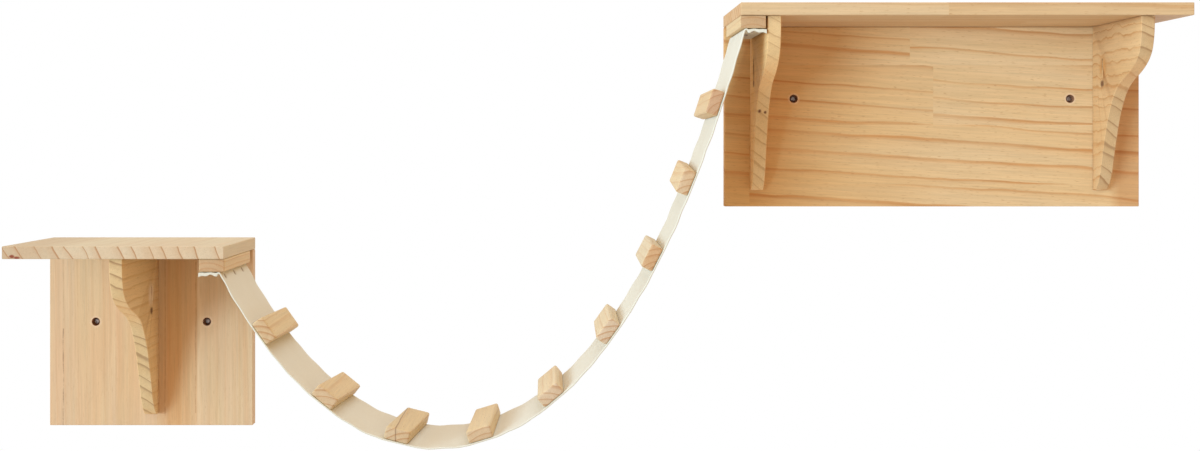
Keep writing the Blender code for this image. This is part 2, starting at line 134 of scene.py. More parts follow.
# Screws: head radius, head height, shank radius, thread pitch
wall_screw_sizes = (0.0044, 0.0028, 0.0021, 0.0018)
canvas_screw_sizes = (0.0034, 0.0016, 0.0014, 0.0012)
pocket_screw_sizes = (0.0026, 0.0020, 0.0015, 0.0012)
back_screw_sizes = (0.0036, 0.0022, 0.0017, 0.0014)
screw_sides = 24
screw_tip = 0.004
tip_rings = 13
tip_taper_share = 0.97
rings_per_thread = 6
thread_root_share = 0.72
head_rings = 9
crown_reach_share = 0.96
crown_drop_share = 0.5
rim_start_share = 0.62
recess_reach_share = 0.52
recess_half_width_share = 0.13
recess_depth_share = 0.55

# The wall screws' counterbores, with a pale crushed rim outside and painted shade on the wall inside
counterbore_radius = 0.0059
crushed_rim_share = 1.34
shaded_wall_share = 1.05

# The brackets' slanted pockets, as the solids have them: side, drop below the shelf, off the wall
pocket_sides = {"low_bracket": 1, "high_left_bracket": -1, "high_right_bracket": -1}
pocket_drop = 0.067
pocket_from_wall = 0.055

# Colours of the wood, cloth and metal
early_pale = (0.77, 0.545, 0.310)
early_warm = (0.78, 0.525, 0.265)
early_high = (0.80, 0.570, 0.315)
early_batten = (0.75, 0.540, 0.285)
late_amber = (0.61, 0.300, 0.097)
late_high = (0.60, 0.257, 0.068)
# Late-wood brown, also used as painted shade inside the brackets' pockets
late_wood_and_shade_brown = (0.40, 0.174, 0.061)
front_brown = (0.30, 0.174, 0.086)
# Brown of knots and resin lines, also used as painted shade in the brackets' pocket slots and bottoms
knot_and_shade_brown = (0.16, 0.061, 0.025)
knot_red = (0.26, 0.065, 0.025)
fleck_pale = (0.86, 0.635, 0.389)
torn_pale = (0.84, 0.620, 0.410)
# Painted shade for the walls of the wall screws' counterbores
hole_shade_brown = (0.30, 0.109, 0.050)
# Painted shade for the canvas's puckers
pucker_shade_brown = (0.24, 0.150, 0.085)
stave_tint = (0.88, 0.80, 0.70)
canvas_cream = (0.745, 0.718, 0.605)
canvas_shade = (0.660, 0.614, 0.488)
zinc_colour = (0.42, 0.32, 0.27)
zinc_haze = (0.40, 0.38, 0.35)
beech_early = (0.66, 0.400, 0.216)
beech_late = (0.56, 0.313, 0.158)

# The treads' tints, from the low end up: the fifth to seventh are much paler and less orange, as painted
# light where their upper faces catch the strong light from the left; the rest are their own tones
tread_tints_and_light = [
    (0.96, 1.0, 1.0),
    (0.96, 1.0, 1.03),
    (0.94, 1.0, 1.04),
    (0.97, 1.03, 1.10),
    (1.0, 1.10, 1.28),
    (1.0, 1.12, 1.34),
    (0.97, 1.10, 1.34),
    (1.0, 1.04, 1.10),
    (0.95, 0.94, 0.94),
]
# Most treads have pale ends, but the seventh's is amber and the ninth's a rosy brown
pale_end = (0.91, 0.87, 0.95)
darker_ends = {7: (0.885, 0.680, 0.560), 9: (0.830, 0.714, 0.774)}
dark_lined_tread = 3
dark_line_aside = -0.0055
cleat_tint = (0.99, 1.0, 0.98)
cleat_end = (0.77, 0.68, 0.70)
cleat_end_lines = 0.15

# Seeds: each kind of piece counts on from its own
bracket_seed = 20.0
cleat_seed = 30.0
cleat_bow_seed = 40
tread_seed = 50.0
tread_seed_step = 3
stave_shift = (3.1, 1.7, 2.3)


def box_of(node):
    """The low and the high corner of a CAD node's box, as arrays."""
    return [np.array(corner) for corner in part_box(node)]


class Recipe:
    """A material's node tree. Each call adds one node and gives back an output of it."""

    def __init__(self, name):
        self.material = bpy.data.materials.new(name)
        self.material.use_nodes = True
        self.tree = self.material.node_tree
        self.shader = self.tree.nodes["Principled BSDF"]

    def plug(self, value, socket):
        """Link a socket to another, or set it to a number or colour."""
        if isinstance(value, bpy.types.NodeSocket):
            self.tree.links.new(value, socket)
        else:
            socket.default_value = (*value, 1.0) if socket.type == "RGBA" else value

    def node(self, kind, inputs, output=0, **settings):
        """Add a node with its settings and inputs, and give back one of its outputs."""
        made = self.tree.nodes.new("ShaderNode" + kind)
        for key, value in settings.items():
            setattr(made, key, value)
        for key, value in inputs.items():
            self.plug(value, made.inputs[key])
        return made.outputs[output]

    def sum(self, operation, *values):
        """One step of arithmetic on sockets and numbers."""
        return self.node("Math", dict(enumerate(values)), operation=operation)

    def spot(self):
        """The three Object coordinates, by letter."""
        place = self.node("TexCoord", {}, "Object")
        split = self.node("SeparateXYZ", {0: place}).node
        return {letter: split.outputs[letter] for letter in "XYZ"}

    def join(self, x, y, z):
        """A vector from its three parts."""
        return self.node("CombineXYZ", {0: x, 1: y, 2: z})

    def noise(self, place, scale, detail=2.0, roughness=0.5):
        """Cloudy noise between 0 and 1 at a place."""
        inputs = {"Vector": place, "Scale": scale, "Detail": detail, "Roughness": roughness}
        return self.node("TexNoise", inputs)

    def ramp(self, value, stops):
        """A grey ramp through (place, brightness) stops."""
        output = self.node("ValToRGB", {0: value})
        bar = output.node.color_ramp
        while len(bar.elements) < len(stops):
            bar.elements.new(0.5)
        for element, (place, grey) in zip(bar.elements, stops):
            element.position = place
            element.color = (grey, grey, grey, 1.0)
        return output

    def mix(self, share, first, second, blend_type="MIX"):
        """The first colour gone over into the second by a share."""
        return self.node("MixRGB", {0: share, 1: first, 2: second}, blend_type=blend_type)

    def finish(self, colour, roughness, height, bump_depth, bump_strength):
        """Plug the colour, roughness and bump height into the shader."""
        bump = self.node("Bump", {"Strength": bump_strength, "Distance": bump_depth, "Height": height})
        self.plug(colour, self.shader.inputs["Base Color"])
        self.plug(roughness, self.shader.inputs["Roughness"])
        self.plug(bump, self.shader.inputs["Normal"])
        return self.material


class Timber(Recipe):
    """Pine sawn from a log, as a solid pattern on Object coordinates.

    The grain runs along one axis, and the rings lie about a pith line that runs with it. The calls
    below add one feature each, in the order in which they are made.
    """

    stave_tone = 0.0

    def __init__(self, name, grain, across, seed, slant=0.0):
        super().__init__(name)
        self.grain, self.seed = grain, seed
        spot = self.spot()
        self.along = spot[grain]
        self.flat_side = spot[across]
        self.side = self.sum("MULTIPLY_ADD", self.along, slant, self.flat_side)
        self.deep = spot[next(letter for letter in "XYZ" if letter not in (grain, across))]
        self.key = self.join(seed, 2.7 * seed, 1.0)

    def glue_up(self, width, border, joints, tone=0.5):
        """Staves across the grain, counted from a border, each with a butt joint at its own place."""
        row = self.sum("FLOOR", self.sum("DIVIDE", self.sum("SUBTRACT", self.flat_side, border), width))
        joint = joints[0]
        for number in range(1, len(joints)):
            reached = self.sum("GREATER_THAN", row, number - 0.5)
            joint = self.sum("MULTIPLY_ADD", reached, joints[number] - joints[number - 1], joint)
        past = self.sum("GREATER_THAN", self.along, joint)
        self.key = self.join(row, past, self.seed)
        self.stave_tone = tone

    def chances(self):
        """Three random numbers, the same all over a stave."""
        colour = self.node("TexWhiteNoise", {"Vector": self.key}, 1, noise_dimensions="3D")
        split = self.node("SeparateColor", {0: colour}).node
        return [split.outputs[number] for number in range(3)]

    def drawn_out(self, share, stretch=1.0):
        """A noise place that is drawn out along the grain and starts anew in each stave."""
        place = self.join(
            self.sum("MULTIPLY", self.along, share),
            self.sum("MULTIPLY", self.side, stretch),
            self.sum("MULTIPLY", self.deep, stretch),
        )
        shift = self.node("VectorMath", {0: self.key, 1: stave_shift}, operation="MULTIPLY")
        return self.node("VectorMath", {0: place, 1: shift}, operation="ADD")

    def rings(
        self, early, late, width, pith, spread=0.05, wander=0.008, late_share=0.3, strength=0.7, waves=0.35
    ):
        """Growth rings: early wood that darkens slowly into a late-wood line, which ends sharply.

        The phase is the distance from the pith over the ring width. Slow noise makes the lines
        wander and fade, and a noise of the phase itself makes the rings uneven.
        """
        first, second, third = self.chances()
        side = self.sum("SUBTRACT", self.side, pith[0])
        side = self.sum("MULTIPLY_ADD", self.sum("SUBTRACT", first, 0.5), spread, side)
        deep = self.sum("SUBTRACT", self.deep, pith[1])
        deep = self.sum("MULTIPLY_ADD", self.sum("SUBTRACT", second, 0.5), spread, deep)
        distance = self.node("VectorMath", {0: self.join(side, deep, 0.0)}, 1, operation="LENGTH")
        place = self.drawn_out(waves)
        for scale, share in ((9.0, 2.0), (42.0, 0.4)):
            bend = self.sum("SUBTRACT", self.noise(place, scale), 0.5)
            distance = self.sum("MULTIPLY_ADD", bend, wander * share, distance)
        phase = self.sum("MULTIPLY_ADD", distance, 1 / width, self.sum("MULTIPLY", third, 9.0))
        uneven = self.node("TexNoise", {"W": phase, "Scale": 0.8, "Detail": 1.0}, noise_dimensions="1D")
        phase = self.sum("FRACT", self.sum("MULTIPLY_ADD", uneven, 0.9, phase))
        start = 1 - late_share
        stops = [(0.0, 0.0), (start * 0.6, 0.04), (start, 0.22), (1 - late_share * 0.42, 1.0)]
        self.ring = self.ramp(phase, [*stops, (1 - late_share * 0.12, 0.85), (1.0, 0.0)])
        fade = self.ramp(self.noise(place, 14.0, 1.0), [(0.30, 0.45), (0.66, 1.0)])
        dark = self.sum("MULTIPLY", self.sum("MULTIPLY", self.ring, fade), strength)
        self.colour = self.mix(dark, early, late)
        tone = self.mix(first, (1.0, 1.0, 1.0), stave_tint)
        self.colour = self.mix(self.stave_tone, self.colour, tone, "MULTIPLY")

    def tint(self, share, colour):
        """Multiply the wood by a colour, by a share."""
        self.colour = self.mix(share, self.colour, colour, "MULTIPLY")

    def bands(self, width, colour, strength=1.0):
        """Soft bands of another tone along the grain, about as wide as given."""
        noise = self.noise(self.drawn_out(0.10), 0.5 / width, 1.0)
        share = self.ramp(noise, [(0.38, 0.0), (0.62, 1.0)])
        self.tint(self.sum("MULTIPLY", share, strength), colour)

    def strip(self, start, end, colour, soft=0.15):
        """Another tone in a strip between two places across the grain, soft at its borders."""
        half = (end - start) / 2
        off = self.sum("ABSOLUTE", self.sum("SUBTRACT", self.flat_side, start + half))
        share = self.ramp(self.sum("DIVIDE", off, half), [(1 - soft, 1.0), (1.0, 0.0)])
        self.tint(share, colour)

    def drift(self, start, end, colour):
        """A tone that goes over into another along the grain, from start to end."""
        share = self.sum("DIVIDE", self.sum("SUBTRACT", self.along, start), end - start)
        self.tint(self.ramp(share, [(0.0, 1.0), (1.0, 0.0)]), colour)

    def fibres(self, coarse=0.08, fine=0.10, flecks=0.45):
        """Coarse and fine fibre streaks, and short dark resin flecks."""
        streaks = self.noise(self.drawn_out(9.0, 260.0), 1.0)
        self.tint(1.0, self.ramp(streaks, [(0.36, 1 - coarse), (0.60, 1.0)]))
        self.fibre = self.noise(self.drawn_out(22.0, 850.0), 1.0, 3.0, 0.6)
        self.tint(1.0, self.ramp(self.fibre, [(0.30, 1 - fine), (0.62, 1.0)]))
        fleck = self.ramp(self.noise(self.drawn_out(110.0, 900.0), 1.0, 0.0), [(0.70, 0.0), (0.80, 1.0)])
        self.colour = self.mix(self.sum("MULTIPLY", fleck, flecks), self.colour, late_wood_and_shade_brown)

    def streak(self, place, start, end, width, colour=knot_and_shade_brown, strength=0.8, broken=0.5):
        """A resin line along the grain at a place across it, from start to end, broken up by noise."""
        wobble = self.noise(self.drawn_out(14.0, 0.0), 1.0)
        wavy_side = self.sum("MULTIPLY_ADD", wobble, width * 3, self.flat_side)
        off = self.sum("ABSOLUTE", self.sum("SUBTRACT", wavy_side, place + width * 1.5))
        line = self.ramp(self.sum("DIVIDE", off, width), [(0.0, 1.0), (1.0, 0.0)])
        past_start = self.sum("GREATER_THAN", self.along, start)
        before_end = self.sum("LESS_THAN", self.along, end)
        line = self.sum("MULTIPLY", line, self.sum("MULTIPLY", past_start, before_end))
        breaks = self.noise(self.drawn_out(75.0, 40.0), 1.0, 4.0, 0.7)
        pieces = self.ramp(breaks, [(broken - 0.10, 0.12), (broken + 0.10, 1.0)])
        share = self.sum("MULTIPLY", line, self.sum("MULTIPLY", pieces, strength))
        self.colour = self.mix(share, self.colour, colour)

    def mark(self, place, reach, colour=knot_and_shade_brown, strength=1.0, rough=0.6, soft=0.35):
        """Another colour within an ellipsoid of that reach about a place, with an uneven rim."""
        spot = self.node("TexCoord", {}, "Object")
        offset = self.node("VectorMath", {0: spot, 1: place}, operation="SUBTRACT")
        offset = self.node("VectorMath", {0: offset, 1: reach}, operation="DIVIDE")
        far = self.node("VectorMath", {0: offset}, 1, operation="LENGTH")
        uneven = self.sum("SUBTRACT", self.noise(spot, 400.0), 0.5)
        far = self.sum("MULTIPLY", self.sum("MULTIPLY_ADD", uneven, rough, far), 0.5)
        share = self.ramp(far, [(0.5 - soft / 2, strength), (0.5 + soft / 2, 0.0)])
        self.colour = self.mix(share, self.colour, colour)

    def screw_holes(self, unit):
        """A pale crushed rim about each wall screw's counterbore, and painted shade on the wall inside it."""
        for number in (1, 2):
            low, high = box_of(f"{unit}_wall_screw_{number}")
            place = ((low + high) / 2).tolist()
            pale = counterbore_radius * crushed_rim_share
            dark = counterbore_radius * shaded_wall_share
            self.mark(place, (pale, 1.0, pale), torn_pale, strength=0.55, rough=0.2, soft=0.22)
            # Painted shade on the counterbore's wall
            self.mark(place, (dark, 1.0, dark), hole_shade_brown, strength=0.85, rough=0.08, soft=0.06)

    def cut_ends(self, tone, line_colour=late_wood_and_shade_brown, line_strength=0.0):
        """End grain: another tone, and the rings' lines drawn again where the face cuts the grain."""
        normal = self.node("SeparateXYZ", {0: self.node("TexCoord", {}, "Normal")}).node
        facing = self.sum("ABSOLUTE", normal.outputs[self.grain])
        self.end = self.ramp(facing, [(0.50, 0.0), (0.80, 1.0)])
        self.tint(self.end, tone)
        share = self.sum("MULTIPLY", self.sum("MULTIPLY", self.end, self.ring), line_strength)
        self.colour = self.mix(share, self.colour, line_colour)

    def sanded(self):
        """The finished wood, with a satin sheen that is duller on end grain."""
        self.shader.inputs["Specular IOR Level"].default_value = 0.32
        rough = self.sum("MULTIPLY_ADD", self.fibre, 0.16, 0.46)
        rough = self.sum("MULTIPLY_ADD", self.end, 0.18, rough)
        height = self.sum("MULTIPLY_ADD", self.ring, 0.4, self.sum("MULTIPLY", self.fibre, 0.6))
        return self.finish(self.colour, rough, height, bump_depth=0.00025, bump_strength=0.5)


def low_panel_wood():
    """Upright grain in soft golden and pinkish bands, with one long resin line near the left edge."""
    wood = Timber("pine_low_panel", "Z", "X", 3.0, slant=0.01)
    wood.glue_up(0.0597, -0.1718, (1.0,), tone=0.35)
    wood.rings(early_pale, late_amber, 0.009, (0.0, 0.06), wander=0.004, late_share=0.4, strength=0.20)
    wood.tint(1.0, (0.955, 0.960, 1.0))
    wood.bands(0.010, (1.0, 0.93, 0.90), 0.9)
    wood.bands(0.022, (0.975, 0.955, 0.88), 0.9)
    # A darker stave beside the low bracket, with a softer band in it: partly the stave's own tone, partly
    # painted shade where the bracket's shadow falls
    wood.strip(0.0073, 0.0670, (1.0, 0.94, 0.85), 0.04)
    wood.strip(0.0215, 0.0460, (0.98, 0.91, 0.82), 0.30)
    # Painted light: paler and less orange towards the bottom edge, away from the shade under the shelf
    wood.drift(-0.128, 0.010, (1.05, 1.09, 1.14))
    wood.fibres(0.06, 0.09, 0.16)
    wood.streak(-0.1285, -0.128, 0.013, 0.0013, strength=0.62, broken=0.46)
    wood.streak(-0.1285, -0.128, 0.120, 0.0011, strength=0.26, broken=0.54)
    wood.streak(0.0200, -0.118, 0.115, 0.0012, colour=late_wood_and_shade_brown, strength=0.60, broken=0.42)
    wood.streak(0.0645, -0.110, 0.110, 0.0012, colour=late_wood_and_shade_brown, strength=0.55, broken=0.50)
    wood.streak(0.0705, -0.128, 0.110, 0.0050, colour=fleck_pale, strength=0.50, broken=0.20)
    wood.screw_holes("low")
    wood.cut_ends((0.90, 0.84, 0.80), late_wood_and_shade_brown, 0.35)
    return wood.sanded()


def high_panel_wood():
    """Level grain that slopes down a little to the right, amber lines, staves with butt joints."""
    wood = Timber("pine_high_panel", "X", "Z", 7.0, slant=0.06)
    wood.glue_up(0.0868, 0.1364, (0.872, 0.872, 1.140, 1.106), tone=0.3)
    pith = (0.13, 0.07)
    wood.rings(early_high, late_high, 0.025, pith, spread=0.06, wander=0.012, late_share=0.2, strength=0.78)
    # Darker and more orange towards the left end: partly the left staves' own darker tone, partly painted
    # shade beside the left bracket
    wood.drift(0.88, 1.16, (0.95, 0.82, 0.62))
    # Painted shade: the panel's right end, beside the right bracket, is darkened where the bracket's shadow
    # falls
    wood.drift(1.412, 1.396, (0.84, 0.70, 0.60))
    wood.bands(0.016, (0.99, 0.94, 0.86), 0.8)
    wood.fibres(0.08, 0.10, 0.40)
    wood.screw_holes("high")
    wood.cut_ends((0.90, 0.84, 0.80), late_wood_and_shade_brown, 0.35)
    return wood.sanded()


def low_shelf_wood():
    """Grain from front to back, so the front edge is end grain with steep ring lines."""
    wood = Timber("pine_low_shelf", "Y", "X", 8.0)
    pith = (-0.90, -0.30)
    wood.rings(early_pale, late_amber, 0.019, pith, wander=0.013, late_share=0.13, strength=0.50)
    wood.tint(1.0, (0.88, 1.03, 1.16))
    wood.strip(-0.205, -0.060, (0.88, 0.85, 0.82), 0.6)
    wood.bands(0.020, (1.0, 0.94, 0.90), 0.8)
    wood.fibres(0.05, 0.08, 0.3)
    wood.mark((-0.1345, -0.2, 0.1315), (0.0034, 0.0100, 0.0022), knot_red)
    wood.mark((-0.1280, -0.2, 0.1298), (0.0040, 0.0100, 0.0018), knot_red)
    wood.cut_ends((1.0, 0.945, 0.975), late_wood_and_shade_brown, 0.80)
    return wood.sanded()


def high_shelf_wood():
    """Level grain, pale yellow, with one butt joint in the front stave."""
    wood = Timber("pine_high_shelf", "X", "Y", 11.0)
    wood.glue_up(0.0500, -0.2000, (1.113, 1.00, 1.25, 0.95), tone=0.6)
    wood.rings(early_pale, late_amber, 0.012, (-0.1, 0.40), wander=0.006, strength=0.45)
    wood.tint(1.0, (0.93, 0.935, 0.94))
    wood.bands(0.014, (1.0, 0.95, 0.88), 0.7)
    wood.fibres()
    wood.cut_ends((0.98, 0.92, 0.88), late_wood_and_shade_brown, 0.35)
    return wood.sanded()


def bracket_wood(node, seed, tone, waves, side_lines, front_lines, torn, knots):
    """Grain from front to back: level lines on the sides, slanted dark ones on the greyish front.

    The pocket for the screw gets painted shade inside, darkest at its bottom. Its mouth has torn fibres of
    the given colour, or else a thin dark slot of painted shade.
    """
    low, high = box_of(node)
    middle = (low + high) / 2
    wood = Timber("pine_" + node, "Y", "Z", seed)
    pith = (float(middle[2]) - 0.42, float(middle[0]) - 0.23)
    looks = {"wander": 0.012, "late_share": 0.22, "strength": side_lines, "waves": waves}
    wood.rings(early_warm, late_amber, 0.0145, pith, **looks)
    wood.tint(1.0, tone)
    wood.bands(0.020, (0.97, 0.92, 0.84), 0.7)
    wood.fibres(0.05, 0.10, 0.4)
    wood.cut_ends((0.89, 0.96, 1.04), front_brown, front_lines)
    side = pocket_sides[node]
    face = float(high[0] if side > 0 else low[0])
    mouth = float(high[2]) - pocket_drop
    if torn:
        fibres = (face, -pocket_from_wall - 0.003, mouth + 0.006)
        wood.mark(fibres, (0.0016, 0.0120, 0.0145), torn, strength=0.9, rough=1.1)
    else:
        # Painted shade: the pocket seen edge on, as a thin dark slot
        pocket_slot = (face, -pocket_from_wall, mouth + 0.002)
        wood.mark(pocket_slot, (0.0040, 0.0046, 0.0185), knot_and_shade_brown, strength=0.85)
    # Painted shade inside the pocket, and darkest at its bottom, where the screw head sits
    inside = (face - side * 0.006, -pocket_from_wall, mouth + 0.004)
    wood.mark(inside, (0.0050, 0.0036, 0.020), late_wood_and_shade_brown, strength=0.55)
    bottom = (face, -pocket_from_wall, mouth - 0.0175)
    wood.mark(bottom, (0.0030, 0.0060, 0.0048), knot_and_shade_brown, strength=0.9)
    for place, radius in knots:
        wood.mark(place, (radius, radius * 8, radius))
    return wood.sanded()


def batten_wood(name, middle, seed, tint, end_tone, end_lines=0.45, dark_line=None):
    """A batten's wood: tight rings about a pith just below it, seen as arcs on its ends."""
    wood = Timber(name, "Y", "X", seed)
    pith = (float(middle[0]), float(middle[1]) - 0.035)
    wood.rings(early_batten, late_amber, 0.008, pith, spread=0.03, wander=0.005, strength=0.5)
    wood.tint(1.0, tint)
    wood.bands(0.012, (0.98, 0.94, 0.88), 0.7)
    wood.fibres(0.06, 0.10, 0.4)
    wood.cut_ends(end_tone, late_wood_and_shade_brown, end_lines)
    if dark_line is not None:
        wood.streak(float(middle[0]) + dark_line, -1.0, 1.0, 0.0011, strength=0.75, broken=0.2)
    return wood.sanded()


def dowel_wood():
    """Beech: fine, short flecks and hardly any rings."""
    wood = Timber("beech_dowel", "Z", "X", 60.0)
    wood.rings(beech_early, beech_late, 0.003, (0.0, 0.02), wander=0.001, strength=0.4)
    wood.fibres(0.04, 0.08, 0.6)
    wood.cut_ends((0.92, 0.88, 0.85))
    return wood.sanded()


def canvas(line):
    """Undyed plain-weave canvas on the cloth's own UV, which is in metres across and along.

    Warp and weft yarns swap places on a checkerboard, and each yarn is a rounded band. The puckers by the
    bends get painted shade, as dark spots.
    """
    recipe = Recipe("canvas_weave")
    place = recipe.node("UVMap", {}, uv_map="cloth")
    split = recipe.node("SeparateXYZ", {0: place}).node
    across = recipe.sum("DIVIDE", split.outputs["X"], yarn_pitch)
    along = recipe.sum("DIVIDE", split.outputs["Y"], yarn_pitch)
    squares = recipe.sum("ADD", recipe.sum("FLOOR", across), recipe.sum("FLOOR", along))
    over = recipe.sum("MODULO", recipe.sum("ABSOLUTE", squares), 2.0)
    warp = recipe.sum("SINE", recipe.sum("MULTIPLY", recipe.sum("FRACT", across), math.pi))
    weft = recipe.sum("SINE", recipe.sum("MULTIPLY", recipe.sum("FRACT", along), math.pi))
    yarn = recipe.mix(over, warp, weft)
    slubs = []
    for across_scale, along_scale, layer in ((0.9, 0.05, 0.0), (0.05, 0.9, 4.0)):
        x = recipe.sum("MULTIPLY", across, across_scale)
        y = recipe.sum("MULTIPLY", along, along_scale)
        slubs.append(recipe.noise(recipe.join(x, y, layer), 1.0))
    slub = recipe.mix(0.5, *slubs)
    blotch = recipe.noise(recipe.node("TexCoord", {}, "Object"), 14.0, 3.0)
    colour = recipe.mix(recipe.ramp(blotch, [(0.30, 0.35), (0.70, 0.0)]), canvas_cream, canvas_shade)
    colour = recipe.mix(recipe.ramp(slub, [(0.35, 0.22), (0.60, 0.0)]), colour, canvas_shade)
    colour = recipe.mix(recipe.ramp(yarn, [(0.0, 0.22), (0.55, 0.0)]), colour, canvas_shade)
    # Painted shade: a dark spot in each pucker by the bends
    for bend_run in (pucker_run, line.length - pucker_run):
        for aside in pucker_places:
            pucker = (aside + uv_shift, bend_run + uv_shift, 0.0)
            offset = recipe.node("VectorMath", {0: place, 1: pucker}, operation="SUBTRACT")
            far = recipe.node("VectorMath", {0: offset}, 1, operation="LENGTH")
            share = recipe.ramp(recipe.sum("DIVIDE", far, pucker_size), [(0.40, 0.85), (1.0, 0.0)])
            colour = recipe.mix(share, colour, pucker_shade_brown)
    recipe.shader.inputs["Specular IOR Level"].default_value = 0.1
    recipe.shader.inputs["Sheen Weight"].default_value = 0.12
    recipe.shader.inputs["Sheen Roughness"].default_value = 0.6
    height = recipe.sum("ADD", yarn, slub)
    roughness = recipe.sum("MULTIPLY_ADD", yarn, -0.08, 0.9)
    return recipe.finish(colour, roughness, height, bump_depth=0.00016, bump_strength=0.15)


def zinc():
    """Bright zinc plate with a little haze."""
    recipe = Recipe("zinc_plate")
    place = recipe.node("TexCoord", {}, "Object")
    haze = recipe.noise(place, 900.0, 3.0)
    colour = recipe.mix(recipe.ramp(haze, [(0.35, 0.0), (0.70, 0.6)]), zinc_colour, zinc_haze)
    recipe.shader.inputs["Metallic"].default_value = 1.0
    roughness = recipe.sum("MULTIPLY_ADD", haze, 0.20, 0.38)
    return recipe.finish(colour, roughness, haze, bump_depth=0.00005, bump_strength=0.3)


def stand_in(name, mesh, sharp_degrees, material, body, nodes):
    """A smoothly shaded piece of that mesh, riding on a body in place of CAD nodes."""
    mesh.shade_smooth()
    mesh.set_sharp_from_angle(angle=math.radians(sharp_degrees))
    mesh.materials.clear()
    mesh.materials.append(material)
    piece = bpy.data.objects.new(name, mesh)
    bpy.context.scene.collection.objects.link(piece)
    if body:
        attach(piece, body)
    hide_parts(*nodes)
    return piece


def new_piece(name, points, faces, material, body, nodes, uv=None):
    """A piece made of new points and faces, with its faces turned outwards."""
    mesh = bpy.data.meshes.new(name)
    mesh.from_pydata(points.tolist(), [], faces)
    if uv is not None:
        layer = mesh.uv_layers.new(name="cloth")
        corners = np.zeros(len(mesh.loops), dtype=np.int32)
        mesh.loops.foreach_get("vertex_index", corners)
        layer.data.foreach_set("uv", uv[corners].astype(np.float32).ravel())
    form = bmesh.new()
    form.from_mesh(mesh)
    bmesh.ops.recalc_face_normals(form, faces=form.faces)
    form.to_mesh(mesh)
    form.free()
    return stand_in(name, mesh, new_piece_sharp_degrees, material, body, nodes)


def grid_faces(rows, columns):
    """Quads of a grid of rows by columns that closes on itself across its columns."""
    start = np.arange(rows - 1)[:, None] * columns
    here = np.arange(columns)[None, :]
    after = (here + 1) % columns
    quads = np.stack([start + here, start + after, start + columns + after, start + columns + here], -1)
    return quads.reshape(-1, 4).tolist()


def capped(rows, columns):
    """The faces of a swept loop with a flat cap at each end."""
    last = (rows - 1) * columns
    return [*grid_faces(rows, columns), list(range(columns)), list(range(last, last + columns))]


def rounded_loop(width, thickness, radius, corner_steps, wide_steps, thin_steps):
    """Points round a rectangle with round corners, as an array of (across, up)."""
    angles = np.linspace(0, math.pi / 2, corner_steps + 1)
    reach = np.array([width / 2 - radius, thickness / 2 - radius])
    corners = []
    for quarter, (right, up) in enumerate([(1, 1), (-1, 1), (-1, -1), (1, -1)]):
        turn = angles + quarter * math.pi / 2
        corners.append(reach * (right, up) + radius * np.stack([np.cos(turn), np.sin(turn)], 1))
    loop = []
    for number, corner in enumerate(corners):
        steps = thin_steps if number % 2 else wide_steps
        side = np.linspace(corner[-1], corners[(number + 1) % 4][0], steps + 1)[1:-1]
        loop.append(np.concatenate([corner, side]))
    return np.concatenate(loop)


